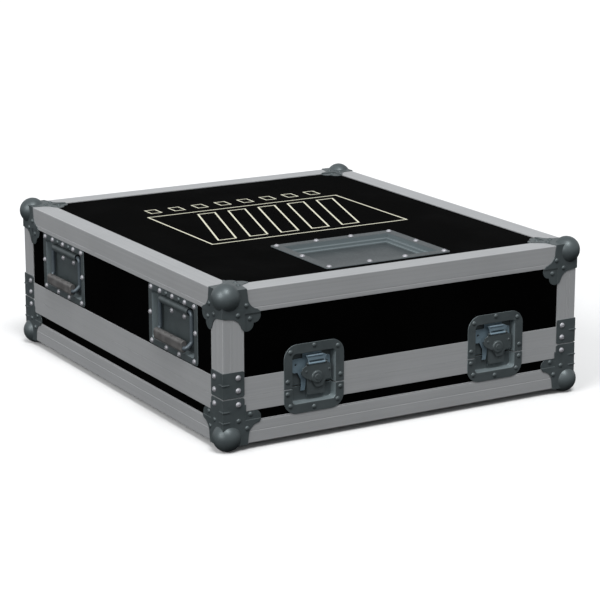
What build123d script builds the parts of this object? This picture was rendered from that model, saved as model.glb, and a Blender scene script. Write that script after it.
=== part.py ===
from build123d import *
import os

# Flight case with a lift-off lid, butterfly latches, sprung handles and ball corners.
# Millimetres, +Z up, front towards -Y. The origin is at the centre of the case on the
# surface that its four lower ball corners stand on. "Out" is always the distance outwards
# from the outer face of the aluminium edges, so everything recessed is negative.

os.makedirs("parts", exist_ok=True)

# ---------------------------------------------------------------- driving dimensions
CASE_W, CASE_D, CASE_H = 640.0, 725.0, 236.4    # outside of the aluminium edges
BALL_R = 21.8                                   # ball corner sphere
BALL_INSET = 11.6                               # sphere centre, in from each of its three faces
BASE_SPLIT = 73.3                               # underside of the edges to the lid joint
LID_BAND, BASE_BAND = 29.2, 22.7                # visible heights of the two closing profiles
ANGLE_LEG, ANGLE_T = 35.5, 1.5                  # aluminium edge angle
PANEL_T = 9.0                                   # plywood
PLATE_T = 1.2                                   # pressed steel hardware
HX, HY = CASE_W / 2, CASE_D / 2
Z0 = BALL_R - BALL_INSET                        # underside of the aluminium edges
ZT = Z0 + CASE_H                                # top of the aluminium edges
SPLIT = Z0 + BASE_SPLIT                         # joint between base and lid
GAP = 0.1                                       # half of the hairline at the joint
PLATE_GAP = 0.9                                 # half of the gap between hardware at the joint
FIT = 0.6                                       # clearance of a cut-out around a dish
PANEL_IN = ANGLE_T + PANEL_T                    # inner face of every panel

# recessed butterfly latch: dish
LATCH_X = 165.3                                 # latch centres, out from the middle
LATCH_W, LATCH_H, LATCH_R = 104.0, 107.6, 22.0
LATCH_Z = Z0 + 87.5
WELL_W, WELL_H, WELL_R = 75.0, 77.5, 6.0
WELL_UP = -0.2                                  # well centre above the flange centre
WELL_DEPTH, WELL_DRAFT = 12.5, 1.2              # from the flange face; narrowing of each wall
BOSS = (6.5, -1.9)                              # turning axis, from the flange centre

# recessed sprung handle: dish
HANDLE_Y = 201.0                                # handle centres, out from the middle
HANDLE_W, HANDLE_H, HANDLE_R = 162.0, 96.4, 5.0
HANDLE_Z = Z0 + 152.3
POCKET_W, POCKET_H, POCKET_R = 140.0, 76.5, 6.0
POCKET_DEPTH, POCKET_DRAFT = 11.2, 1.5

# label dish in the lid top
LABEL_W, LABEL_D, LABEL_R = 227.0, 178.0, 6.0   # flange
LABEL_AT = (2.1, -221.0)
# width and depth of each step of the well, and how far down it goes from the flange
LABEL_STEPS = ((194.4, 145.0, 7.3), (186.4, 137.0, 11.9), (178.4, 129.0, 14.1))


# ---------------------------------------------------------------- placing helpers
def wall(side):
    """Plane on the outer face of the edges, normal outwards, local Y up."""
    x_dir, z_dir, origin = {
        "front": ((1, 0, 0), (0, -1, 0), (0, -HY, 0)),
        "back": ((-1, 0, 0), (0, 1, 0), (0, HY, 0)),
        "left": ((0, -1, 0), (-1, 0, 0), (-HX, 0, 0)),
        "right": ((0, 1, 0), (1, 0, 0), (HX, 0, 0)),
    }[side]
    return Plane(origin=origin, x_dir=x_dir, z_dir=z_dir)


def on(plane, x, y, out=0.0):
    """The same plane with its origin at local x, y and moved outwards."""
    return Plane(origin=plane.from_local_coords(Vector(x, y, out)),
                 x_dir=plane.x_dir, z_dir=plane.z_dir)


def four_corners(piece, top, z):
    """Copies of a piece modelled at the front left lower corner, in all four corners."""
    if top:
        piece = piece.mirror(Plane.XY)
    copies = []
    for side_x in (-1, 1):
        for side_y in (-1, 1):
            copy = piece.mirror(Plane.YZ) if side_x > 0 else piece
            copy = copy.mirror(Plane.XZ) if side_y > 0 else copy
            copies.append(Pos(side_x * HX, side_y * HY, z) * copy)
    return copies


def save(piece, name):
    """Label a finished piece and write its STEP file."""
    piece.label = name
    export_step(piece, f"parts/{name}.step")


def group(copies, name):
    """Write separate solids of one kind as one node."""
    save(Compound(children=[solid for copy in copies for solid in copy.solids()]), name)


LATCHES = {
    "front_left": on(wall("front"), -LATCH_X, LATCH_Z),
    "front_right": on(wall("front"), LATCH_X, LATCH_Z),
    "back_left": on(wall("back"), LATCH_X, LATCH_Z),
    "back_right": on(wall("back"), -LATCH_X, LATCH_Z),
}
HANDLES = {
    "left_front": on(wall("left"), HANDLE_Y, HANDLE_Z),
    "left_back": on(wall("left"), -HANDLE_Y, HANDLE_Z),
    "right_front": on(wall("right"), -HANDLE_Y, HANDLE_Z),
    "right_back": on(wall("right"), HANDLE_Y, HANDLE_Z),
}


# ---------------------------------------------------------------- plywood panels
LID_REBATE, BASE_REBATE = 7.5, 1.7              # lid joint to the edges of the upright panels


def wall_panel(side, z_low, z_high):
    """One upright panel, with openings for the dishes of its own side."""
    face = wall(side)
    length = CASE_W - 2 * ANGLE_T if side in ("front", "back") else CASE_D - 2 * PANEL_IN
    with BuildPart() as panel:
        with BuildSketch(face.offset(-ANGLE_T)):
            with Locations((0, (z_low + z_high) / 2)):
                Rectangle(length, z_high - z_low)
        extrude(amount=-PANEL_T)
        if side in ("front", "back"):
            with BuildSketch(face):
                with Locations((-LATCH_X, LATCH_Z + WELL_UP), (LATCH_X, LATCH_Z + WELL_UP)):
                    Rectangle(WELL_W + 2 * PLATE_T + 2 * FIT, WELL_H + 2 * PLATE_T + 2 * FIT)
            extrude(amount=-PANEL_IN, mode=Mode.SUBTRACT)
        elif z_high > HANDLE_Z:
            with BuildSketch(face):
                with Locations((-HANDLE_Y, HANDLE_Z), (HANDLE_Y, HANDLE_Z)):
                    Rectangle(POCKET_W + 2 * PLATE_T + 2 * FIT, POCKET_H + 2 * PLATE_T + 2 * FIT)
            extrude(amount=-PANEL_IN, mode=Mode.SUBTRACT)
    return panel.part


for side in ("front", "back", "left", "right"):
    save(wall_panel(side, SPLIT + LID_REBATE, ZT - PANEL_IN), f"lid_{side}_panel")
    save(wall_panel(side, Z0 + PANEL_IN, SPLIT - BASE_REBATE), f"base_{side}_panel")

with BuildPart() as lid_top_panel:
    with BuildSketch(Plane.XY.offset(ZT - ANGLE_T)):
        Rectangle(CASE_W - 2 * ANGLE_T, CASE_D - 2 * ANGLE_T)
        with Locations(LABEL_AT):
            Rectangle(LABEL_STEPS[0][0] + 2 * PLATE_T + 2 * FIT,
                      LABEL_STEPS[0][1] + 2 * PLATE_T + 2 * FIT, mode=Mode.SUBTRACT)
    extrude(amount=-PANEL_T)
save(lid_top_panel.part, "lid_top_panel")

with BuildPart() as base_bottom_panel:
    with BuildSketch(Plane.XY.offset(Z0 + ANGLE_T)):
        Rectangle(CASE_W - 2 * ANGLE_T, CASE_D - 2 * ANGLE_T)
    extrude(amount=PANEL_T)
save(base_bottom_panel.part, "base_bottom_panel")


# ---------------------------------------------------------------- aluminium edges
GROOVE = 0.7                                    # side of the square that cuts a decorative line


def angle_section(lines):
    """L section with its outer corner at the origin and a V line at each distance."""
    with BuildSketch() as section:
        Rectangle(ANGLE_LEG, ANGLE_LEG, align=(Align.MIN, Align.MIN))
        with Locations((ANGLE_T, ANGLE_T)):
            Rectangle(ANGLE_LEG, ANGLE_LEG, align=(Align.MIN, Align.MIN), mode=Mode.SUBTRACT)
        corner = section.vertices().group_by(Axis.X)[0].sort_by(Axis.Y)[0]
        fillet(corner, radius=1.4)
        for line in lines:
            with Locations((line, 0), (0, line)):
                Rectangle(GROOVE, GROOVE, rotation=45, mode=Mode.SUBTRACT)
    return section.sketch


def mitred_pair(plane, section, length, along_x):
    """A bar on one side of the case, mitred at both ends, and its opposite twin."""
    sign = 1 if along_x else -1
    with BuildPart() as bar:
        with BuildSketch(plane):
            add(section)
        extrude(amount=length / 2, both=True)
        for end in (-1, 1):
            origin = (end * HX, -HY, 0) if along_x else (-HX, end * HY, 0)
            z_dir = (-end * sign, -1, 0) if along_x else (-1, -end, 0)
            split(bisect_by=Plane(origin=origin, z_dir=z_dir), keep=Keep.TOP)
        mirror(about=Plane.XZ if along_x else Plane.YZ)
    return bar.part


def edge_plane(along_x, top):
    """Section plane of a horizontal edge: local X inwards, local Y towards mid-height."""
    z = ZT if top else Z0
    inward = Vector(0, 1, 0) if along_x else Vector(1, 0, 0)
    upright = Vector(0, 0, -1 if top else 1)
    origin = (0, -HY, z) if along_x else (-HX, 0, z)
    return Plane(origin=origin, x_dir=inward, z_dir=inward.cross(upright))


for name, top, lines in (("lid", True, (28.8,)), ("base", False, (18.6, 33.6))):
    save(mitred_pair(edge_plane(True, top), angle_section(lines), CASE_W, True),
         f"{name}_edges_short")
    save(mitred_pair(edge_plane(False, top), angle_section(lines), CASE_D, False),
         f"{name}_edges_long")

for name, z_low, z_high in (("lid", SPLIT + LID_BAND, ZT - ANGLE_LEG),
                            ("base", Z0 + ANGLE_LEG, SPLIT - BASE_BAND)):
    with BuildPart() as corner_angle:
        with BuildSketch():
            add(angle_section((12.0, 17.4, 32.6)))
        extrude(amount=z_high - z_low)
    group(four_corners(corner_angle.part, False, z_low), f"{name}_corner_angles")

# closing profiles: local X inwards from the outer face, local Y up from the joint
LID_PROFILE = [(0, GAP), (1.5, GAP), (1.5, 6), (10.5, 6), (10.5, GAP), (12, GAP),
               (12, 20), (10.5, 20), (10.5, 7.5), (1.5, 7.5), (1.5, LID_BAND), (0, LID_BAND)]
BASE_PROFILE = [(0, -GAP), (3, -GAP), (3, 4.5), (9, 4.5), (9, -GAP), (12, -GAP), (12, -18),
                (10.5, -18), (10.5, -1.7), (1.5, -1.7), (1.5, -BASE_BAND), (0, -BASE_BAND)]

for name, profile in (("lid", LID_PROFILE), ("base", BASE_PROFILE)):
    with BuildSketch() as closing_section:
        Polygon(*profile, align=None)
    for size, along_x in (("short", True), ("long", False)):
        plane = edge_plane(along_x, False)
        plane = Plane(origin=plane.origin + Vector(0, 0, SPLIT - Z0), x_dir=plane.x_dir,
                      z_dir=plane.z_dir)
        length = CASE_W if along_x else CASE_D
        bars = mitred_pair(plane, closing_section.sketch, length, along_x)
        if along_x:
            # the latch wells pass through the profile, so each side is three lengths
            with BuildPart() as closing:
                add(bars)
                with BuildSketch(Plane.XY.offset(SPLIT)):
                    with Locations((-LATCH_X, 0), (LATCH_X, 0)):
                        Rectangle(WELL_W + 2 * PLATE_T + 2 * FIT, CASE_D + 1)
                extrude(amount=LID_BAND + 1, both=True, mode=Mode.SUBTRACT)
            bars = closing.part
        save(bars, f"{name}_closing_{size}")


# ---------------------------------------------------------------- ball corners and braces
NECK = (62.1, 11.4, 20.0)                       # centre and radius of the concave neck
LOBE = (53.0, 41.0, 11.0)                       # centre and radius of a rounded lobe
BRACED_LOBE = (53.0, 39.6, 10.7)                # the one lobe of a plate with a brace
FOOT = 40.3                                     # reach of a plate along the edges
BRACE_W, BRACE_H, BRACE_R = 35.3, 39.3, 3.5     # leg of a brace; height above the joint
BALL_WALL = 1.4                                 # thickness of the hollow ball
STEP_OUT, STEP_IN = 0.1, 1.3                    # the step down to the panel, past the angle's leg
LARGE = 90.0                                    # longer than any part of a corner
BEAD_OUT, BEAD_ROUND, BEAD_HALF = 2.3, 1.0, 0.9
BEAD_REACH = (9.0, 11.0)                        # ends of a bead's crest and of its foot
BASE_BEADS, LID_BEADS = (36.9, 53.6), (94.8,)
OCTANT = (
    (Plane(origin=(0, 0, 0), x_dir=(1, 0, 0), z_dir=(0, -1, 0)), 1),
    (Plane(origin=(0, 0, 0), x_dir=(0, 1, 0), z_dir=(1, 0, 0)), -1),
    (Plane.XY, -1),
)                                               # faces Y=0, X=0, Z=0 and the outward sign


def full_outline():
    """Plate with two lobes, symmetric about the diagonal."""
    with BuildSketch() as outline:
        Polygon((-PLATE_T, -PLATE_T), (FOOT, -PLATE_T), (42.1, 11.4), (56.2, 30.5), (53, 41),
                (41, 53), (30.5, 56.2), (11.4, 42.1), (-PLATE_T, FOOT), align=None)
        for swap in (False, True):
            lobe = (LOBE[1], LOBE[0]) if swap else LOBE[:2]
            neck = (NECK[1], NECK[0]) if swap else NECK[:2]
            with Locations(lobe):
                Circle(LOBE[2])
            with Locations(neck):
                Circle(NECK[2], mode=Mode.SUBTRACT)
    return outline.sketch


def braced_outline():
    """Plate with one lobe and a brace that runs up to the lid joint."""
    top = BASE_SPLIT - PLATE_GAP
    with BuildSketch() as outline:
        Polygon((-PLATE_T, -PLATE_T), (FOOT, -PLATE_T), (42.1, 11.4), (56.2, 30.5), (58, 50.3),
                (37.9, 50.3), (37.9, 61), (BRACE_W, 61), (BRACE_W, top), (-PLATE_T, top), align=None)
        with Locations(BRACED_LOBE[:2]):
            Circle(BRACED_LOBE[2])
        with Locations(NECK[:2]):
            Circle(NECK[2], mode=Mode.SUBTRACT)
        outer = outline.vertices().group_by(Axis.Y)[-1].sort_by(Axis.X)[-1]
        fillet(outer, radius=BRACE_R)
    return outline.sketch


def edge_bead(z):
    """Small rib pressed across the upright edge."""
    crest, foot = BEAD_REACH
    with BuildPart() as bead:
        with BuildSketch(Plane.XY.offset(z)):
            Polygon((-BEAD_OUT, -BEAD_OUT), (crest, -BEAD_OUT), (foot, -PLATE_T), (-PLATE_T, -PLATE_T),
                    (-PLATE_T, foot), (-BEAD_OUT, crest), align=None)
        extrude(amount=BEAD_HALF, both=True)
        upright = bead.edges().filter_by(Axis.Z).sort_by(Axis((0, 0, 0), (1, 1, 0)))[0]
        fillet(upright, radius=BEAD_ROUND)
    return bead.part


def ball_corner(braced):
    """Hollow ball with folded plates, on the corner whose faces are X=0, Y=0 and Z=0."""
    faces = []
    for plane, sign in OCTANT:
        tall = braced and plane is not OCTANT[2][0]
        faces.append((plane, sign, braced_outline() if tall else full_outline(),
                      BASE_SPLIT - BASE_BAND if tall else LARGE))
    near, far = ANGLE_LEG + STEP_OUT, ANGLE_LEG + STEP_IN
    with BuildPart() as corner:
        for plane, sign, outline, high in faces:
            with BuildSketch(plane):
                add(outline)
            extrude(amount=sign * PLATE_T)
        with Locations((BALL_INSET, BALL_INSET, BALL_INSET)):
            Sphere(BALL_R)
            Sphere(BALL_R - BALL_WALL, mode=Mode.SUBTRACT)
        Box(LARGE, LARGE, LARGE, align=Align.MIN, mode=Mode.SUBTRACT)
        # where a plate leaves the edge angle it steps down on to the panel
        for plane, sign, outline, high in faces:
            sunk = plane.offset(-sign * ANGLE_T)
            with BuildSketch(plane):
                add(outline)
                with Locations((far, far)):
                    Rectangle(LARGE, high - far, align=Align.MIN, mode=Mode.INTERSECT)
            extrude(amount=sign * PLATE_T, mode=Mode.SUBTRACT)
            with BuildSketch(sunk):
                add(outline)
                with Locations((near, near)):
                    Rectangle(LARGE, high - near - STEP_OUT, align=Align.MIN, mode=Mode.INTERSECT)
            extrude(amount=sign * PLATE_T)
            with BuildSketch(sunk):
                add(outline)
                with Locations((near, near)):
                    Rectangle(LARGE, high - near - STEP_OUT, align=Align.MIN, mode=Mode.INTERSECT)
                with Locations((far, far)):
                    Rectangle(LARGE, LARGE, align=Align.MIN, mode=Mode.SUBTRACT)
            extrude(amount=sign * (PLATE_T + ANGLE_T))
        if braced:
            for z in BASE_BEADS:
                add(edge_bead(z))
    return corner.part


group(four_corners(ball_corner(False), True, ZT), "lid_ball_corners")
group(four_corners(ball_corner(True), False, Z0), "base_ball_corners")

with BuildPart() as brace:
    for plane, sign in OCTANT[:2]:
        with BuildSketch(plane):
            with Locations((-PLATE_T, BASE_SPLIT + PLATE_GAP)):
                Rectangle(BRACE_W + PLATE_T, BRACE_H, align=Align.MIN)
        extrude(amount=sign * PLATE_T)
    fillet(brace.edges().filter_by(Axis.Y).group_by(Axis.X)[-1], radius=BRACE_R)
    fillet(brace.edges().filter_by(Axis.X).group_by(Axis.Y)[-1], radius=BRACE_R)
    for z in LID_BEADS:
        add(edge_bead(z))
group(four_corners(brace.part, False, Z0), "lid_corner_braces")


# ---------------------------------------------------------------- pressed dishes
FLOOR_R, PRESS_R = 1.5, 1.0                     # pressed radii at a well floor and at its rim


def pressed_dish(face, flange, flange_radius, well, well_radius, depth, draft, up=0.0):
    """Thin dish: a flange whose outer face lies on the plane, and a drafted well."""
    with BuildPart() as dish:
        with BuildSketch(face):
            RectangleRounded(*flange, flange_radius)
        extrude(amount=-PLATE_T)
        for grow, mode in ((PLATE_T, Mode.ADD), (0, Mode.SUBTRACT)):
            width, height = well[0] + 2 * grow, well[1] + 2 * grow
            mouth = face if grow == 0 else face.offset(-PLATE_T)
            with BuildSketch(on(mouth, 0, up)):
                RectangleRounded(width, height, well_radius + grow)
            with BuildSketch(on(face, 0, up, -depth - grow)):
                RectangleRounded(width - 2 * draft, height - 2 * draft, well_radius + grow - 1)
            loft(mode=mode)
        through = Axis(face.origin, face.z_dir)
        flats = dish.faces().filter_by(through).sort_by(through)
        fillet(flats[1].edges(), radius=FLOOR_R)
        rim = dish.faces().filter_by(through).sort_by(through)[-1].inner_wires()[0].edges()
        fillet(rim, radius=PRESS_R)
    return dish.part


def section_at(plane, x, up, out=0.0):
    """Plane across a wall: local X outwards, local Y up, through local x, up."""
    return Plane(origin=plane.from_local_coords(Vector(x, up, out)), x_dir=plane.z_dir,
                 z_dir=plane.z_dir.cross(plane.y_dir))


with BuildPart() as label_dish:
    rim_z = ZT - ANGLE_T + PLATE_T
    for grow, mode in ((PLATE_T, Mode.ADD), (0, Mode.SUBTRACT)):
        for width, depth, down in LABEL_STEPS:
            with BuildSketch(Plane.XY.offset(rim_z)):
                with Locations(LABEL_AT):
                    Rectangle(width + 2 * grow, depth + 2 * grow)
            extrude(amount=-down - grow, mode=mode)
        if grow:
            with BuildSketch(Plane.XY.offset(rim_z)):
                with Locations(LABEL_AT):
                    RectangleRounded(LABEL_W, LABEL_D, LABEL_R)
            extrude(amount=-PLATE_T)
    for width, depth, down in LABEL_STEPS[:-1]:
        level = rim_z - down
        ledge = label_dish.faces().filter_by(Axis.Z).filter_by_position(Axis.Z, level - 0.1, level + 0.1)
        fillet(ledge[0].inner_wires()[0].edges(), radius=PRESS_R)
    mouth = label_dish.faces().filter_by(Axis.Z).sort_by(Axis.Z)[-1]
    fillet(mouth.inner_wires()[0].edges(), radius=PRESS_R)
save(label_dish.part, "label_dish")


# ---------------------------------------------------------------- butterfly latches
# the mechanism lies in layers between the well floor and the flange; each pair is (front, back)
SHIELD = (-1.8, -3.3)
CAM = (-4.4, -6.9)
HOOK = (-4.6, -6.6)
BASE = (-8.2, -9.7)
WELL_FLOOR = PLATE_T - WELL_DEPTH
SHAFT_R, SHAFT_END = 3.0, -11.0
TURN_FIT = 0.1                                  # clearance round the shaft
CAP_R, CAP_OUT, CAP_EDGE = 9.7, 0.6, 2.0        # domed cap over the turning axis
BUTTON_R, BUTTON_OUT, BUTTON_EDGE = 4.6, 1.3, 0.5
STUD_R, STUD_OUT, STUD_EDGE = 1.9, -1.0, 0.6    # two small studs on the shield
STUDS = ((-18.2, 9.9), (21.7, 9.2))
CAM_R, CAM_THROW = 6.5, 3.2
# outlines in the plane of the latch, about the turning axis
SHIELD_OUTLINE = [(-17.0, 19.9), (20.5, 19.9), (24.8, 16.5), (24.8, -5.1), (15.5, -6.1), (10.1, -14.7),
                  (3.5, -16.1), (-1.3, -15.6), (-8.5, -5.6), (-21.5, 0.9), (-26.5, 6.0), (-26.5, 9.9),
                  (-24.0, 15.9)]
WING_OUTLINE = [(-15.0, 21.9), (-15.0, 26.8), (-19.4, 35.5), (10.2, 35.5), (17.2, 31.9),
                (14.0, 26.8), (14.0, 21.9)]
WING_SLOT = ((-13.0, 23.2), (12.0, 26.8))       # opposite corners
KNUCKLE_R, KNUCKLE_UP, KNUCKLE_OUT = 1.9, 21.9, -2.3
KNUCKLE_FIT = 0.2                               # gap between the wing's barrel and each knuckle
KNUCKLE_W = 2.8
BARREL = (-15.0, 14.0)                          # ends of the wing's barrel
PIN_R, PIN_FIT = 0.9, 0.1
WING_T = 1.5
RIDGE = ((-16.5, 9.5), 33.9, 1.2)               # finger ridge: ends, height, radius
HOOK_W, HOOK_TOP, HOOK_FOOT, HOOK_R = 30.0, 14.0, -27.7, 3.0
CAM_SLOT = (21.0, 15.0)                         # the hook's slot round the cam
CHEEK_T, CHEEK_H, CHEEK_UP = 1.5, 22.0, -14.0   # folded sides of the hook
CHEEK_END = -10.9
# fixed plate behind the mechanism, about the flange centre
BACK_PLATE, BACK_UP, BACK_R = (66.0, 22.0), 17.5, 4.0
BACK_TAB, BACK_TAB_AT = (33.0, 9.0), (1.5, 31.0)
BACK_TONGUE, BACK_TONGUE_UP = (20.0, 16.0), -2.0
BACK_FOOT_W, BACK_FOOT_H = 1.5, 16.0
BACK_LEG = [(-24.6, 8.0), (-17.6, -5.5), (-17.5, -14.5), (-18.2, -22.0), (-11.5, -22.0), (-10.0, -14.5),
            (-9.2, -5.5), (-19.5, 8.0)]
BACK_HOLES, BACK_HOLE_R = ((-27.0, 19.0), (27.0, 19.0)), 1.8
# keeper on the base half: local X outwards, local Y up, about the flange centre
KEEPER_SECTION = [(WELL_FLOOR, -33.5), (-9.8, -33.5), (-9.8, -23.0), (-8.7, -23.0), (-8.7, -26.5),
                  (-7.2, -26.5), (-7.2, -21.5), (WELL_FLOOR, -21.5)]
KEEPER_HALF = 13.0


def layer(plane, pair):
    """Sketch plane on the front of a layer and the depth to extrude to its back."""
    return plane.offset(pair[0]), pair[1] - pair[0]


def hook_piece(turning):
    """Flat hook with a slot for the cam and two folded cheeks."""
    front, depth = layer(turning, HOOK)
    with BuildPart() as hook:
        with BuildSketch(front):
            with Locations((0, (HOOK_TOP + HOOK_FOOT) / 2)):
                RectangleRounded(HOOK_W, HOOK_TOP - HOOK_FOOT, HOOK_R)
            with Locations((0, CAM_THROW)):
                RectangleRounded(*CAM_SLOT, 2, mode=Mode.SUBTRACT)
        extrude(amount=depth)
        with BuildSketch(front.offset(depth)):
            with Locations((-(HOOK_W - CHEEK_T) / 2, CHEEK_UP), ((HOOK_W - CHEEK_T) / 2, CHEEK_UP)):
                RectangleRounded(CHEEK_T, CHEEK_H, CHEEK_T / 2 - 0.05)
        extrude(amount=CHEEK_END - HOOK[1])
    return hook.part


def back_plate(centre):
    """Fixed plate that carries the shaft, standing on the well floor on two feet."""
    front, depth = layer(centre, BASE)
    with BuildPart() as plate:
        with BuildSketch(front):
            with Locations((0, BACK_UP)):
                RectangleRounded(*BACK_PLATE, BACK_R)
            with Locations(BACK_TAB_AT):
                Rectangle(*BACK_TAB)
            with Locations((BOSS[0], BACK_TONGUE_UP)):
                Rectangle(*BACK_TONGUE)
            Polygon(*BACK_LEG, align=None)
            with Locations(BOSS):
                Circle(SHAFT_R + TURN_FIT, mode=Mode.SUBTRACT)
            with Locations(*BACK_HOLES):
                Circle(BACK_HOLE_R, mode=Mode.SUBTRACT)
        extrude(amount=depth)
        with BuildSketch(front.offset(depth)):
            foot_x = (BACK_PLATE[0] - BACK_FOOT_W) / 2
            with Locations((-foot_x, BACK_UP), (foot_x, BACK_UP)):
                Rectangle(BACK_FOOT_W, BACK_FOOT_H)
        extrude(amount=WELL_FLOOR - BASE[1])
    return plate.part


def rotor_piece(turning):
    """Shield plate with its cap, studs, hinge knuckles and pin, on the cam and shaft."""
    outward = Axis(turning.origin, turning.z_dir)
    front, depth = layer(turning, SHIELD)
    knuckles = (BARREL[0] - KNUCKLE_FIT - KNUCKLE_W / 2, BARREL[1] + KNUCKLE_FIT + KNUCKLE_W / 2)
    with BuildPart() as rotor:
        with BuildSketch(front):
            Polygon(*SHIELD_OUTLINE, align=None)
            with Locations((knuckles[0], KNUCKLE_UP - 2), (knuckles[1], KNUCKLE_UP - 2)):
                Rectangle(KNUCKLE_W, 4)
        extrude(amount=depth)
        for radius, out, edge in ((CAP_R, CAP_OUT, CAP_EDGE), (BUTTON_R, BUTTON_OUT, BUTTON_EDGE)):
            with BuildSketch(turning.offset(out)):
                Circle(radius)
            extrude(amount=SHIELD[1] - out)
            fillet(rotor.faces().sort_by(outward)[-1].edges(), radius=edge)
        for spot in STUDS:
            with BuildPart(mode=Mode.PRIVATE) as stud:
                with BuildSketch(on(turning, *spot, STUD_OUT)):
                    Circle(STUD_R)
                extrude(amount=SHIELD[1] - STUD_OUT)
                fillet(stud.faces().sort_by(outward)[-1].edges(), radius=STUD_EDGE)
            add(stud.part)
        with BuildSketch(turning.offset(SHIELD[1])):
            Circle(SHAFT_R)
        extrude(amount=SHAFT_END - SHIELD[1])
        with BuildSketch(turning.offset(CAM[0])):
            with Locations((0, CAM_THROW)):
                Circle(CAM_R)
        extrude(amount=CAM[1] - CAM[0])
        for middle in knuckles:
            with BuildSketch(section_at(turning, middle, KNUCKLE_UP)):
                with Locations((KNUCKLE_OUT, 0)):
                    Circle(KNUCKLE_R)
            extrude(amount=KNUCKLE_W / 2, both=True)
        with BuildSketch(section_at(turning, sum(BARREL) / 2, KNUCKLE_UP)):
            with Locations((KNUCKLE_OUT, 0)):
                Circle(PIN_R)
        extrude(amount=(knuckles[1] - knuckles[0]) / 2, both=True)
    return rotor.part


def wing_piece(turning):
    """Folding wing: slotted plate and finger ridge on a barrel that turns on the pin."""
    barrel = section_at(turning, sum(BARREL) / 2, KNUCKLE_UP, KNUCKLE_OUT)
    half = (BARREL[1] - BARREL[0]) / 2
    (left, low), (right, high) = WING_SLOT
    ridge_ends, ridge_up, ridge_r = RIDGE
    with BuildPart() as wing:
        with BuildSketch(turning.offset(KNUCKLE_OUT + WING_T / 2)):
            Polygon(*WING_OUTLINE, align=None)
            with Locations((left, low)):
                Rectangle(right - left, high - low, align=Align.MIN, mode=Mode.SUBTRACT)
        extrude(amount=-WING_T)
        with BuildSketch(barrel):
            Circle(KNUCKLE_R)
        extrude(amount=half, both=True)
        with BuildSketch(section_at(turning, sum(ridge_ends) / 2, ridge_up, KNUCKLE_OUT + WING_T / 2)):
            Circle(ridge_r)
        extrude(amount=(ridge_ends[1] - ridge_ends[0]) / 2, both=True)
        with BuildSketch(barrel):
            Circle(PIN_R + PIN_FIT)
        extrude(amount=half, both=True, mode=Mode.SUBTRACT)
    return wing.part


keeper_dishes, back_plates = [], []
for place, centre in LATCHES.items():
    dish = pressed_dish(centre.offset(PLATE_T), (LATCH_W, LATCH_H), LATCH_R, (WELL_W, WELL_H),
                        WELL_R, WELL_DEPTH, WELL_DRAFT, WELL_UP)
    with BuildPart() as upper_dish:
        add(dish)
        split(bisect_by=Plane.XY.offset(SPLIT + PLATE_GAP), keep=Keep.TOP)
    save(upper_dish.part, f"latch_dish_{place}")
    with BuildPart() as lower_dish:
        add(dish)
        split(bisect_by=Plane.XY.offset(SPLIT - PLATE_GAP), keep=Keep.BOTTOM)
        with BuildSketch(section_at(centre, BOSS[0], 0)):
            Polygon(*KEEPER_SECTION, align=None)
        extrude(amount=KEEPER_HALF, both=True)
    keeper_dishes.append(lower_dish.part)
    back_plates.append(back_plate(centre))

    turning = on(centre, *BOSS)
    save(rotor_piece(turning), f"latch_rotor_{place}")
    save(wing_piece(turning), f"latch_wing_{place}")
    save(hook_piece(turning), f"latch_hook_{place}")

group(keeper_dishes, "latch_keeper_dishes")
group(back_plates, "latch_base_plates")


# ---------------------------------------------------------------- sprung handles
HINGE_UP, HINGE_IN = 28.5, 6.0                  # hinge rod above the flange centre and recessed
ROD_R, ROD_BEND = 3.4, 6.0
LEG_HALF = 53.0                                 # half the distance between the legs
LEG_END = 22.0                                  # where the hinge rods end, inside the springs
LEG_STRAIGHT = -18.0                            # the legs run straight down to here
ROD_DOWN, ROD_OUT = -27.0, 4.6                  # the rod through the grip
GRIP_UP = -24.5
GRIP_HALF, GRIP_HIGH, GRIP_DEEP, GRIP_EDGE = 46.5, 19.0, 10.4, 1.5
FINGERS, FINGER_PITCH, FINGER_R, FINGER_BITE = 4, 21.0, 12.0, 1.4
COVER_R, COVER_T, COVER_HALF = 6.2, 1.2, 46.0   # cover bent over the hinge
COVER_APRON = 14.5                              # flat below it on the pocket floor
SPRING_TURNS, SPRING_PITCH, WIRE = 8, 2.0, 1.2
SPRING_MIDDLE = 35.0
POCKET_FLOOR = PLATE_T - ANGLE_T - POCKET_DEPTH

with BuildPart() as coil_turns:
    inner = ROD_R + 0.1
    with BuildSketch(Plane.XZ):
        with Locations((inner, 0)):
            Rectangle(WIRE / 2, SPRING_TURNS * SPRING_PITCH, align=(Align.MIN, Align.CENTER))
        with GridLocations(1, SPRING_PITCH, 1, SPRING_TURNS):
            with Locations((inner + WIRE / 2, 0)):
                RectangleRounded(WIRE, SPRING_PITCH - 0.2, WIRE / 2 - 0.05)
    revolve(axis=Axis.Z)


def hinge_cover(centre):
    """Sheet bent round the hinge, with an apron riveted to the pocket floor."""
    hinge = section_at(centre, 0, HINGE_UP, -HINGE_IN)
    floor = POCKET_FLOOR + HINGE_IN
    with BuildPart() as cover:
        with BuildSketch(hinge):
            for radius, mode in ((COVER_R, Mode.ADD), (COVER_R - COVER_T, Mode.SUBTRACT)):
                Circle(radius, mode=mode)
                with Locations((floor, 0)):
                    Rectangle(-floor, 2 * radius, align=(Align.MIN, Align.CENTER), mode=mode)
            with Locations((floor, 0)):
                Rectangle(COVER_R, 4 * COVER_R, align=(Align.MAX, Align.CENTER), mode=Mode.SUBTRACT)
            with Locations((floor, -COVER_R)):
                Rectangle(COVER_T, COVER_APRON, align=(Align.MIN, Align.MAX))
        extrude(amount=COVER_HALF, both=True)
    return cover.part


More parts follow.
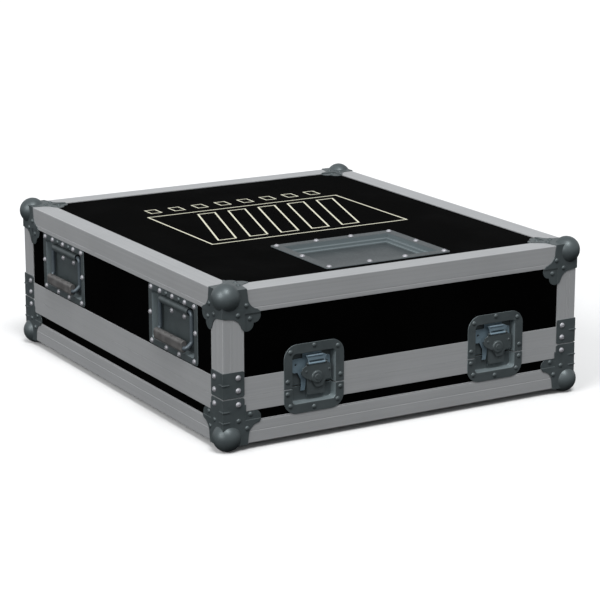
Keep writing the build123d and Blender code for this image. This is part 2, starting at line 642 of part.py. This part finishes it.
def bail_piece(centre):
    """Steel rod: two hinge ends, two legs and the run through the grip."""
    stations = [(LEG_END, HINGE_UP, -HINGE_IN), (LEG_HALF, HINGE_UP, -HINGE_IN),
                (LEG_HALF, LEG_STRAIGHT, -HINGE_IN), (LEG_HALF, ROD_DOWN, ROD_OUT)]
    stations += [(-x, up, out) for x, up, out in reversed(stations)]
    with BuildPart() as bail:
        with BuildLine():
            FilletPolyline(*[centre.from_local_coords(Vector(*s)) for s in stations], radius=ROD_BEND)
        with BuildSketch(section_at(centre, LEG_END, HINGE_UP, -HINGE_IN)):
            Circle(ROD_R)
        sweep()
    return bail.part


def grip_piece(centre):
    """Moulded grip with shallow finger hollows along its top edge."""
    section = section_at(centre, 0, GRIP_UP, ROD_OUT)
    with BuildPart() as grip:
        with BuildSketch(section):
            RectangleRounded(GRIP_DEEP, GRIP_HIGH, GRIP_DEEP / 2 - 0.1)
        extrude(amount=GRIP_HALF, both=True)
        fillet(grip.faces().filter_by(Axis(centre.origin, centre.x_dir)).edges(), radius=GRIP_EDGE)
        crest = GRIP_UP + GRIP_HIGH / 2 + FINGER_R - FINGER_BITE
        with BuildSketch(on(centre, 0, crest, ROD_OUT - GRIP_DEEP)):
            with GridLocations(FINGER_PITCH, 1, FINGERS, 1):
                Circle(FINGER_R)
        extrude(amount=2 * GRIP_DEEP, mode=Mode.SUBTRACT)
        with BuildSketch(section_at(centre, 0, ROD_DOWN, ROD_OUT)):
            Circle(ROD_R)
        extrude(amount=GRIP_HALF, both=True, mode=Mode.SUBTRACT)
    return grip.part


hinge_covers, springs = [], []
for place, centre in HANDLES.items():
    save(pressed_dish(centre.offset(PLATE_T - ANGLE_T), (HANDLE_W, HANDLE_H), HANDLE_R,
                      (POCKET_W, POCKET_H), POCKET_R, POCKET_DEPTH, POCKET_DRAFT),
         f"handle_dish_{place}")
    save(bail_piece(centre), f"handle_bail_{place}")
    save(grip_piece(centre), f"handle_grip_{place}")
    hinge_covers.append(hinge_cover(centre))
    for middle in (-SPRING_MIDDLE, SPRING_MIDDLE):
        springs.append(section_at(centre, middle, HINGE_UP, -HINGE_IN).location * coil_turns.part)

group(hinge_covers, "handle_hinge_covers")
group(springs, "handle_springs")


# ---------------------------------------------------------------- rivets
SHANK_R, SHANK_LONG = 1.9, 5.0
DIMPLE_R, DIMPLE_DEEP = 1.1, 0.9                # drill hole left in the head of a pop rivet
# (across, along, out) on every face of a corner, and (across, up) on each other fitting
CORNER_RIVETS = ((25.3, 37.6, PLATE_T), (39.4, 24.2, PLATE_T), (46.0, 45.0, PLATE_T - ANGLE_T))
BRACE_RIVET_IN = 24.9
LID_BRACE_RIVETS, BASE_BRACE_RIVETS = (84.3, 104.0), (62.8,)
LATCH_UPPER_RIVETS = ((-41.3, 42.8), (0, 49.2), (41.3, 42.8), (-46, -2.6), (46, -2.6))
LATCH_LOWER_RIVETS = ((-46, -21.8), (46, -21.8), (-41.2, -41.0), (0, -47.0), (41.2, -41.0))
HANDLE_RIVETS = ((-72, 42.6), (-41.5, 42.6), (0, 42.6), (41.5, 42.6), (72, 42.6), (-75.2, 2), (75.2, 2),
                 (-71, -42.8), (-21.5, -43.2), (21.5, -43.2), (71, -42.8))
HANDLE_DARK_RIVETS = ((-21.3, 42.6), (21.3, 42.6))
COVER_RIVETS = ((-21.0, 14.7), (21.0, 14.7))
LABEL_RIVETS = ((105.0, 80.8), (32.3, 80.8), (105.0, 0))


def rivet(head_r, height, dimple):
    """Domed rivet standing on the origin, shank downwards."""
    crown = DIMPLE_R if dimple else DIMPLE_R / 2
    with BuildPart() as piece:
        with BuildSketch(Plane.XZ):
            with BuildLine():
                Polyline((0, -SHANK_LONG), (SHANK_R, -SHANK_LONG), (SHANK_R, 0), (head_r, 0))
                ThreePointArc((head_r, 0), (head_r * 0.72, height * 0.66), (crown, height))
                if dimple:
                    sunk = height - DIMPLE_DEEP
                    Polyline((crown, height), (crown, sunk), (0, sunk), (0, -SHANK_LONG))
                else:
                    Polyline((crown, height), (0, height), (0, -SHANK_LONG))
            make_face()
        revolve(axis=Axis.Z)
    return piece.part


def corner_rivet_planes(top):
    """Three rivets on each of the three faces of the four corners of one half."""
    z = ZT if top else Z0
    up = -1 if top else 1
    planes = []
    for side_x in (-1, 1):
        for side_y in (-1, 1):
            origin = Vector(side_x * HX, side_y * HY, z)
            axes = (Vector(-side_x, 0, 0), Vector(0, -side_y, 0), Vector(0, 0, up))
            for first, second, normal in ((0, 2, 1), (1, 2, 0), (0, 1, 2)):
                for a, b, out in CORNER_RIVETS:
                    spot = origin + axes[first] * a + axes[second] * b - axes[normal] * out
                    planes.append(Plane(origin=spot, z_dir=axes[normal] * -1))
    return planes


def brace_rivet_planes(heights):
    """Rivets of the braces, one column on each leg."""
    planes = []
    for side, half in (("front", HX), ("back", HX), ("left", HY), ("right", HY)):
        for x in (-half + BRACE_RIVET_IN, half - BRACE_RIVET_IN):
            planes += [on(wall(side), x, Z0 + height, PLATE_T) for height in heights]
    return planes


def fitting_planes(centres, spots, out):
    """The same rivets on every copy of a fitting."""
    return [on(centre, *spot, out) for centre in centres.values() for spot in spots]


dark = rivet(3.9, 2.1, False)
bright = rivet(4.5, 2.9, True)
panel_out = PLATE_T - ANGLE_T
lid_dark = fitting_planes(LATCHES, LATCH_UPPER_RIVETS, PLATE_T) + corner_rivet_planes(True)
lid_dark += fitting_planes(HANDLES, HANDLE_DARK_RIVETS, panel_out)
base_dark = fitting_planes(LATCHES, LATCH_LOWER_RIVETS, PLATE_T) + corner_rivet_planes(False)
lid_bright = brace_rivet_planes(LID_BRACE_RIVETS) + fitting_planes(HANDLES, HANDLE_RIVETS, panel_out)
lid_bright += fitting_planes(HANDLES, COVER_RIVETS, POCKET_FLOOR + COVER_T)
lid_bright += [Plane(origin=(LABEL_AT[0] + x, LABEL_AT[1] + y, ZT + panel_out))
               for a, b in LABEL_RIVETS for x in (-a, a) for y in sorted({-b, b})]
base_bright = brace_rivet_planes(BASE_BRACE_RIVETS)

for planes, head, name in ((lid_dark, dark, "lid_rivets"), (base_dark, dark, "base_rivets"),
                           (lid_bright, bright, "lid_bright_rivets"),
                           (base_bright, bright, "base_bright_rivets")):
    group([plane.location * head for plane in planes], name)
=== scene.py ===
# Looks of the flight case: materials, printed graphics, floor, light and camera. Metres, in the frame
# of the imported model. Colours are linear, and texture scales are in cycles per metre.
import math
import bpy
from mathutils import Matrix, Vector


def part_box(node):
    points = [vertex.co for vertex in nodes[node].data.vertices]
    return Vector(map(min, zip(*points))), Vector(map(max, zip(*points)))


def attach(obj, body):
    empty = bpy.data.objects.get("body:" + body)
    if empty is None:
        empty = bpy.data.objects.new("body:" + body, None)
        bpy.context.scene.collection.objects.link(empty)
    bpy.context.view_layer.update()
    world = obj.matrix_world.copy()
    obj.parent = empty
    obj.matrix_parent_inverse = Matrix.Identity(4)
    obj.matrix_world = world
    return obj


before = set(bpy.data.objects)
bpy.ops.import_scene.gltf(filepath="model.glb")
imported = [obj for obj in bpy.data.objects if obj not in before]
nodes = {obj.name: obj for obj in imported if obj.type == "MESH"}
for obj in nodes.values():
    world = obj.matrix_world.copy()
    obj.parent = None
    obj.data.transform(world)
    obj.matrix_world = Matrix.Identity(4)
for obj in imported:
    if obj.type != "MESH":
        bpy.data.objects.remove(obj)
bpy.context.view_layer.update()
scene = bpy.context.scene
MM = 0.001
MIX_FACTOR, MIX_FROM, MIX_TO, MIX_RESULT = 0, 6, 7, 2   # sockets of a colour mix


# ---------------------------------------------------------------- node helpers
class Shader:
    """A material under construction: makes nodes, sets or links their inputs by name."""

    def __init__(self, name):
        self.material = bpy.data.materials.new(name)
        self.material.use_nodes = True
        self.tree = self.material.node_tree
        self.tree.nodes.clear()
        self.output = self.tree.nodes.new("ShaderNodeOutputMaterial")

    def node(self, kind, settings=None, **inputs):
        made = self.tree.nodes.new("ShaderNode" + kind)
        for key, value in (settings or {}).items():
            setattr(made, key, value)
        for key, value in inputs.items():
            self.feed(made.inputs[key.replace("_", " ")], value)
        return made

    def feed(self, socket, value):
        if isinstance(value, bpy.types.NodeSocket):
            self.tree.links.new(value, socket)
        else:
            socket.default_value = value

    def math(self, operation, *values):
        made = self.tree.nodes.new("ShaderNodeMath")
        made.operation = operation
        for socket, value in zip(made.inputs, values):
            self.feed(socket, value)
        return made.outputs[0]

    def remap(self, value, low, high, to_low, to_high):
        made = self.node("MapRange", Value=value, From_Min=low, From_Max=high, To_Min=to_low,
                         To_Max=to_high)
        return made.outputs[0]

    def mix(self, factor, one, other):
        made = self.node("Mix", {"data_type": "RGBA"})
        self.feed(made.inputs[MIX_FACTOR], factor)
        self.feed(made.inputs[MIX_FROM], one)
        self.feed(made.inputs[MIX_TO], other)
        return made.outputs[MIX_RESULT]

    def stretched(self, scale):
        """Object coordinates, scaled per axis in cycles per metre."""
        place = self.node("TexCoord").outputs["Object"]
        return self.node("Mapping", Vector=place, Scale=scale).outputs[0]

    def noise(self, scale, detail=3.0, rough=0.55):
        """Noise from 0 to 1; scale is one number or one for each axis."""
        if isinstance(scale, (int, float)):
            scale = (scale, scale, scale)
        made = self.node("TexNoise", Vector=self.stretched(scale), Scale=1.0, Detail=detail,
                         Roughness=rough)
        return made.outputs[0]

    def edges(self, radius):
        """Normal rounded over the edges, and how much of an edge each spot is."""
        soft = self.node("Bevel", {"samples": 4}, Radius=radius).outputs[0]
        true = self.node("NewGeometry").outputs["Normal"]
        along = self.node("VectorMath", {"operation": "DOT_PRODUCT"})
        self.feed(along.inputs[0], soft)
        self.feed(along.inputs[1], true)
        return soft, self.remap(along.outputs["Value"], 0.995, 0.8, 0.0, 1.0)

    def bump(self, height, distance, strength, normal=None):
        made = self.node("Bump", Height=height, Distance=distance, Strength=strength)
        if normal is not None:
            self.feed(made.inputs["Normal"], normal)
        return made.outputs[0]

    def finish(self, **inputs):
        surface = self.node("BsdfPrincipled", **inputs)
        self.tree.links.new(surface.outputs[0], self.output.inputs[0])
        return self.material


def grey(value, blue=0.0):
    """Near-neutral linear colour, cooler as blue rises."""
    return (value * (1 - blue), value, value * (1 + blue), 1)


def drawn_out(axis, across, along):
    """Scale of a texture on each axis, when it is stretched along one of them."""
    scale = [across] * 3
    scale[axis] = along
    return scale


# ---------------------------------------------------------------- materials
DIE_LINES = (3400.0, 5.0)                       # fine extrusion lines, across and along the profile
DIE_BANDS = (330.0, 1.6)                        # broad ones
SCUFFS = (310.0, 130.0, 270.0)
COOL = 0.02                                     # how blue the aluminium and the sky are
ALUMINIUM_DULL, ALUMINIUM_BRIGHT = grey(0.375, COOL), grey(0.445, COOL)
ALUMINIUM_SCUFFED, ALUMINIUM_EDGE = grey(0.33), grey(0.66, COOL)

FILM_PEBBLE = 620.0
FILM_BLACK, FILM_RUBBED = grey(0.0004), grey(0.0009)
GRAIN = (160.0, 5.0)                            # birch grain, across and along
BIRCH_DARK, BIRCH_LIGHT = (0.36, 0.23, 0.12, 1), (0.58, 0.42, 0.26, 1)
VENEER_DARK = (0.24, 0.14, 0.07, 1)
VENEER_PAIR = 2.8 * MM                          # a dark and a light veneer together

SCRAPES = (90.0, 90.0, 420.0)
PAINTED_WALL_GAIN = 2.9                                   # how much lighter the dish walls are painted: a painted highlight for the light they catch
SHEET = 1.2 * MM                                # thickness of the pressed hardware
STEP_SOFT = 0.5 * MM                            # how softly the painted highlight on the steps begins and ends
FLOOR_CLEAR = 0.2 * MM                          # from the dish's floor to where they begin
# heights of the label dish's walls, where the painted highlight lies
LABEL_STEPS = (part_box("label_dish")[0].z + SHEET + FLOOR_CLEAR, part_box("label_dish")[1].z - SHEET)

RUBBER_DARK, RUBBER_LIGHT = (0.07, 0.068, 0.067, 1), (0.11, 0.107, 0.105, 1)
CREAM_DARK, CREAM_LIGHT = (0.6, 0.585, 0.46, 1), (0.7, 0.685, 0.55, 1)
CREAM_WORN = (0.2, 0.19, 0.14, 1)


def aluminium(name, axis):
    """Mill-finish extrusion with die lines along one axis, scuffs and brighter edges."""
    s = Shader(name)
    lines = s.noise(drawn_out(axis, *DIE_LINES), 2.0)
    bands = s.noise(drawn_out(axis, *DIE_BANDS), 3.0)
    cloud = s.noise(9.0, 4.0)
    scuff = s.remap(s.noise(SCUFFS, 6.0, 0.7), 0.66, 0.74, 0.0, 1.0)
    normal, edge = s.edges(0.5 * MM)
    tone = s.math("ADD", s.math("MULTIPLY", lines, 0.35), s.math("MULTIPLY", bands, 0.65))
    tone = s.math("ADD", s.math("MULTIPLY", tone, 0.6), s.math("MULTIPLY", cloud, 0.4))
    colour = s.mix(s.remap(tone, 0.35, 0.65, 0.0, 1.0), ALUMINIUM_DULL, ALUMINIUM_BRIGHT)
    colour = s.mix(s.math("MULTIPLY", scuff, 0.22), colour, ALUMINIUM_SCUFFED)
    colour = s.mix(s.math("MULTIPLY", edge, 0.55), colour, ALUMINIUM_EDGE)
    rough = s.remap(tone, 0.3, 0.7, 0.5, 0.42)
    return s.finish(Base_Color=colour, Metallic=0.35, Roughness=rough,
                    Normal=s.bump(lines, 0.02 * MM, 0.2, normal))


def laminate(name, axis, sign):
    """Black phenolic film outside, birch veneers on the cut edges, birch face inside."""
    s = Shader(name)
    coordinates = s.node("TexCoord").outputs
    facing = s.node("SeparateXYZ", Vector=coordinates["Normal"]).outputs[axis]
    facing = s.math("MULTIPLY", facing, float(sign))
    outside = s.remap(facing, 0.4, 0.6, 0.0, 1.0)
    inside = s.remap(facing, -0.4, -0.6, 0.0, 1.0)
    # film: fine pebbled press pattern with faint dust and rubbed spots
    cell = s.node("TexVoronoi", {"feature": "DISTANCE_TO_EDGE"}, Vector=coordinates["Object"],
                  Scale=FILM_PEBBLE).outputs["Distance"]
    pebble = s.remap(cell, 0.0, 0.25, 0.0, 1.0)
    rubbed = s.remap(s.noise(7.0, 5.0), 0.45, 0.75, 0.0, 1.0)
    film = s.mix(rubbed, FILM_BLACK, FILM_RUBBED)
    # birch: grain along the panel, veneers across its thickness
    grain = s.noise(drawn_out(1 if axis == 2 else 1 - axis, *GRAIN), 5.0)
    birch = s.mix(s.remap(grain, 0.35, 0.65, 0.0, 1.0), BIRCH_DARK, BIRCH_LIGHT)
    depth = s.node("SeparateXYZ", Vector=coordinates["Object"]).outputs[axis]
    ply = s.math("SINE", s.math("MULTIPLY", depth, 2 * math.pi / VENEER_PAIR))
    veneer = s.mix(s.remap(ply, -0.2, 0.2, 0.0, 1.0), VENEER_DARK, birch)
    colour = s.mix(inside, veneer, birch)
    colour = s.mix(outside, colour, film)
    rough = s.math("ADD", s.remap(rubbed, 0.0, 1.0, 0.8, 0.7), s.math("MULTIPLY", grain, 0.05))
    height = s.mix(outside, grain, pebble)
    return s.finish(Base_Color=colour, Roughness=rough, Specular_IOR_Level=0.012,
                    Normal=s.bump(height, 0.04 * MM, 0.3))


def plated_steel(name, dark, light, worn, metallic, rough, press=None, stepped=None):
    """Pressed steel with a satin plating: clouded tone, fine skin, rubbed edges.

    A pressed dish has its walls painted lighter, a painted highlight for the light they catch:
    press is the axis it was pressed along. The steps between two heights (stepped) get it as well.
    """
    s = Shader(name)
    cloud = s.noise(34.0, 4.0)
    grit = s.noise(900.0, 2.0)
    skin = s.noise(420.0, 3.0)
    normal, edge = s.edges(0.6 * MM)
    tone = s.math("ADD", s.math("MULTIPLY", cloud, 0.75), s.math("MULTIPLY", grit, 0.25))
    colour = s.mix(s.remap(tone, 0.36, 0.64, 0.0, 1.0), dark, light)
    # painted highlight: the dish's walls, and the steps between the two heights, are painted lighter
    # for the light they catch
    if press is not None:
        facing = s.node("SeparateXYZ", Vector=s.node("TexCoord").outputs["Normal"]).outputs[press]
        painted_light_mask = s.remap(s.math("ABSOLUTE", facing), 0.25, 0.8, 0.85, 0.0)
        if stepped is not None:
            low, high = stepped
            height = s.node("SeparateXYZ", Vector=s.node("TexCoord").outputs["Object"]).outputs["Z"]
            above = s.remap(height, low, low + STEP_SOFT, 0.0, 1.0)
            below = s.remap(height, high - STEP_SOFT, high, 1.0, 0.0)
            painted_light_mask = s.math("MAXIMUM", painted_light_mask, s.math("MULTIPLY", above, below))
        painted_wall_colour = [channel * PAINTED_WALL_GAIN for channel in light[:3]] + [1]
        colour = s.mix(painted_light_mask, colour, painted_wall_colour)
    scrape = s.remap(s.noise(SCRAPES, 5.0, 0.7), 0.68, 0.75, 0.0, 0.5)
    colour = s.mix(s.math("MAXIMUM", scrape, s.math("MULTIPLY", edge, 0.7)), colour, worn)
    gloss = s.remap(skin, 0.3, 0.7, rough + 0.06, rough - 0.06)
    return s.finish(Base_Color=colour, Metallic=metallic, Roughness=gloss,
                    Normal=s.bump(skin, 0.03 * MM, 0.3, normal))


def rubber(name):
    """Moulded rubber with a fine pebble, scuffed lighter in places."""
    s = Shader(name)
    pebble = s.node("TexVoronoi", Vector=s.stretched((900.0,) * 3), Scale=1.0).outputs["Distance"]
    scuff = s.remap(s.noise(55.0, 5.0), 0.4, 0.7, 0.0, 1.0)
    colour = s.mix(scuff, RUBBER_DARK, RUBBER_LIGHT)
    rough = s.remap(scuff, 0.0, 1.0, 0.42, 0.6)
    return s.finish(Base_Color=colour, Roughness=rough, Specular_IOR_Level=0.55,
                    Normal=s.bump(pebble, 0.06 * MM, 0.4))


def printed_ink(name):
    """Screen-printed cream lines, slightly broken where the lid is rubbed."""
    s = Shader(name)
    wear = s.remap(s.noise(260.0, 5.0, 0.7), 0.6, 0.7, 0.0, 0.55)
    tint = s.mix(s.noise(25.0, 3.0), CREAM_DARK, CREAM_LIGHT)
    colour = s.mix(wear, tint, CREAM_WORN)
    return s.finish(Base_Color=colour, Roughness=0.55, Specular_IOR_Level=0.2,
                    Normal=s.bump(wear, 0.02 * MM, 0.2))


ALUMINIUM = [aluminium("aluminium_along_" + "xyz"[axis], axis) for axis in range(3)]
SLATE = ((0.066, 0.081, 0.085, 1), (0.089, 0.107, 0.112, 1), (0.2, 0.225, 0.23, 1), 0.4, 0.42)
HARDWARE = plated_steel("dark_zinc", *SLATE)
# dish hardware with a painted highlight on its walls, for the light they catch
PAINTED_LIGHT_DISHES = [plated_steel("dark_zinc_painted_walls_" + "xyz"[axis], *SLATE, press=axis) for axis in range(2)]
BAIL_ZINC = plated_steel("bail_zinc", (0.075, 0.095, 0.11, 1), (0.11, 0.135, 0.155, 1),
                         (0.22, 0.26, 0.29, 1), 0.4, 0.42)
BLUE_ZINC = plated_steel("blue_zinc", (0.16, 0.23, 0.28, 1), (0.25, 0.34, 0.4, 1),
                         (0.5, 0.6, 0.66, 1), 0.45, 0.4)
# label dish: its walls and steps carry a painted highlight, for the light they catch
DISH_ZINC = plated_steel("clear_zinc", (0.046, 0.056, 0.06, 1), (0.062, 0.074, 0.078, 1),
                         (0.2, 0.22, 0.225, 1), 0.4, 0.4, press=2, stepped=LABEL_STEPS)
NICKEL = plated_steel("bright_rivet", (0.29, 0.29, 0.31, 1), (0.36, 0.36, 0.385, 1),
                      (0.58, 0.58, 0.61, 1), 0.3, 0.4)
RUBBER = rubber("moulded_rubber")
INK = printed_ink("cream_ink")
PANELS = {
    "left": laminate("laminate_left", 0, -1), "right": laminate("laminate_right", 0, 1),
    "front": laminate("laminate_front", 1, -1), "back": laminate("laminate_back", 1, 1),
    "bottom": laminate("laminate_bottom", 2, -1), "top": laminate("laminate_top", 2, 1),
}
BY_SLOT = {"hardware_steel": HARDWARE, "zinc_blue": BLUE_ZINC, "bail_zinc": BAIL_ZINC,
           "dish_zinc": DISH_ZINC, "rivet_nickel": NICKEL, "grip_rubber": RUBBER}


def material_for(name, slot):
    """The material of a CAD node, from its slot and where it stands."""
    if slot == "laminated_plywood":
        return PANELS[name.split("_")[1]]
    if slot == "aluminium_edge":
        if "corner" in name:
            return ALUMINIUM[2]
        return ALUMINIUM[0 if name.endswith("short") else 1]
    if "dish" in name and slot == "hardware_steel":
        return PAINTED_LIGHT_DISHES[1 if "latch" in name else 0]
    return BY_SLOT[slot]


for name, piece in nodes.items():
    slot = piece.material_slots[0].material.name.split(".")[0]
    piece.data.materials[0] = material_for(name, slot)


# ---------------------------------------------------------------- printed graphics on the lid
INK_LINE = 2.9 * MM                             # width of a printed line
SQUARE_LINE = INK_LINE * 0.8
INK_HIGH = 0.08 * MM                            # thickness of the ink
INK_GAP = 0.01 * MM                             # clear of the panel's skin
SHARPEST = 0.3                                  # limit of a mitre, as the cosine of its half turn
TOP_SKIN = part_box("lid_top_panel")[1].z
FRAME = (-0.183, -0.075, 0.367, 0.23, 0.0)      # x, y, width, height and lean of the outline
BARS, BAR_X, BAR_Y, BAR_PITCH = 5, -0.161, -0.054, 0.058
BAR_SHAPE = (0.032, 0.189, 0.062)               # width, height and lean
SQUARES, SQUARE_X, SQUARE_Y, SQUARE_PITCH = 8, -0.164, 0.18, 0.0445
SQUARE_SHAPE = (0.019, 0.026, 0.0)


def ring(points, width):
    """Vertices and faces of a closed mitred line that follows the points, in the XY plane."""
    count = len(points)
    inner, outer = [], []
    for i, here in enumerate(points):
        before, after = points[i - 1], points[(i + 1) % count]
        into = (Vector(here) - Vector(before)).normalized()
        away = (Vector(after) - Vector(here)).normalized()
        left = Vector((-into.y - away.y, into.x + away.x)).normalized()
        reach = width / 2 / max(SHARPEST, left.dot(Vector((-into.y, into.x))))
        inner.append(Vector(here) + left * reach)
        outer.append(Vector(here) - left * reach)
    corners = [(p.x, p.y, z) for z in (0.0, INK_HIGH) for p in inner + outer]
    faces = []
    for i in range(count):
        j = (i + 1) % count
        faces.append((i + 2 * count, j + 2 * count, j + 3 * count, i + 3 * count)[::-1])
        faces.append((i, j, j + 2 * count, i + 2 * count)[::-1])
        faces.append((i + count, j + count, j + 3 * count, i + 3 * count))
        faces.append((i, j, j + count, i + count))
    return corners, faces


def slanted(x, y, width, height, lean):
    """Four corners of a bar that leans, or of a rectangle when lean is 0."""
    return [(x, y), (x + width, y), (x + width + lean, y + height), (x + lean, y + height)]


def lid_graphics():
    """One frame with leaning bars in it, and a row of small squares behind."""
    shapes = [(slanted(*FRAME), INK_LINE)]
    for k in range(BARS):
        shapes.append((slanted(BAR_X + k * BAR_PITCH, BAR_Y, *BAR_SHAPE), INK_LINE))
    for k in range(SQUARES):
        shapes.append((slanted(SQUARE_X + k * SQUARE_PITCH, SQUARE_Y, *SQUARE_SHAPE), SQUARE_LINE))
    corners, faces = [], []
    for points, width in shapes:
        more_corners, more_faces = ring(points, width)
        faces += [tuple(i + len(corners) for i in face) for face in more_faces]
        corners += more_corners
    mesh = bpy.data.meshes.new("lid_graphics")
    mesh.from_pydata(corners, [], faces)
    mesh.materials.append(INK)
    piece = bpy.data.objects.new("lid_graphics", mesh)
    piece.location.z = TOP_SKIN + INK_GAP
    scene.collection.objects.link(piece)
    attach(piece, "lid")


lid_graphics()


# ---------------------------------------------------------------- floor, light and camera
FLOOR_REACH = 30.0                              # half the side of the floor
FLOOR_DARK, FLOOR_LIGHT = grey(0.8), grey(0.84)
# height from straight down (0) to straight up (1), and how bright the surroundings are there
SKY = ((0.44, 0.02), (0.52, 0.55), (0.7, 0.6), (1.0, 0.5))
# name, direction the light goes, strength and angular width in degrees
SUNS = (("overhead", (0.1, 0.45, -0.89), 2.0, 25.0), ("side", (0.85, 0.2, -0.5), 1.7, 35.0))
CAMERA_AT = Vector((-1.7725, -3.0837, 1.0332))
CAMERA_ALONG = Vector((0.4868, 0.8368, -0.2504)).normalized()
CAMERA_LENS = 131.711                           # on a 36 mm sensor
CAMERA_SEES = 100.0                             # farthest distance drawn


def floor():
    """Plain pale floor that runs past the view."""
    s = Shader("studio_floor")
    colour = s.mix(s.noise(2.0, 4.0), FLOOR_DARK, FLOOR_LIGHT)
    material = s.finish(Base_Color=colour, Roughness=0.85, Specular_IOR_Level=0.1)
    mesh = bpy.data.meshes.new("studio_floor")
    corners = [(-FLOOR_REACH, -FLOOR_REACH, 0), (FLOOR_REACH, -FLOOR_REACH, 0),
               (FLOOR_REACH, FLOOR_REACH, 0), (-FLOOR_REACH, FLOOR_REACH, 0)]
    mesh.from_pydata(corners, [], [(0, 1, 2, 3)])
    mesh.materials.append(material)
    plane = bpy.data.objects.new("studio_floor", mesh)
    plane.visible_diffuse = False
    plane.visible_glossy = False
    scene.collection.objects.link(plane)


def sun(name, toward, strength, spread):
    """Soft distant light that shines along a direction."""
    lamp = bpy.data.lights.new(name, "SUN")
    lamp.energy = strength
    lamp.angle = math.radians(spread)
    holder = bpy.data.objects.new(name, lamp)
    holder.rotation_mode = "QUATERNION"
    holder.rotation_quaternion = Vector(toward).to_track_quat("-Z", "Y")
    scene.collection.objects.link(holder)


def sky():
    """Surroundings that are nearly even above the horizon and dark below it."""
    world = bpy.data.worlds.new("studio")
    world.use_nodes = True
    tree = world.node_tree
    place = tree.nodes.new("ShaderNodeTexCoord").outputs["Generated"]
    parts = tree.nodes.new("ShaderNodeSeparateXYZ")
    ramp = tree.nodes.new("ShaderNodeValToRGB")
    shift = tree.nodes.new("ShaderNodeMapRange")
    shift.inputs["From Min"].default_value = -1.0
    tree.links.new(place, parts.inputs[0])
    tree.links.new(parts.outputs["Z"], shift.inputs["Value"])
    tree.links.new(shift.outputs[0], ramp.inputs[0])
    tree.links.new(ramp.outputs[0], tree.nodes["Background"].inputs[0])
    stops = ramp.color_ramp.elements
    stops[0].position, stops[0].color = SKY[0][0], grey(SKY[0][1], COOL)
    stops[1].position, stops[1].color = SKY[-1][0], grey(SKY[-1][1], COOL)
    for position, level in SKY[1:-1]:
        stops.new(position).color = grey(level, COOL)
    return world


def viewpoint():
    """Camera at CAMERA_AT that looks along CAMERA_ALONG with its top up."""
    camera = bpy.data.cameras.new("camera")
    camera.lens = CAMERA_LENS
    camera.clip_end = CAMERA_SEES
    holder = bpy.data.objects.new("camera", camera)
    right = CAMERA_ALONG.cross(Vector((0, 0, 1))).normalized()
    up = right.cross(CAMERA_ALONG)
    turn = Matrix((right, up, -CAMERA_ALONG)).transposed().to_4x4()
    holder.matrix_world = Matrix.Translation(CAMERA_AT) @ turn
    scene.collection.objects.link(holder)
    return holder


floor()
for settings in SUNS:
    sun(*settings)
scene.world = sky()
scene.view_settings.view_transform = "Standard"
bpy.context.scene.camera = viewpoint()
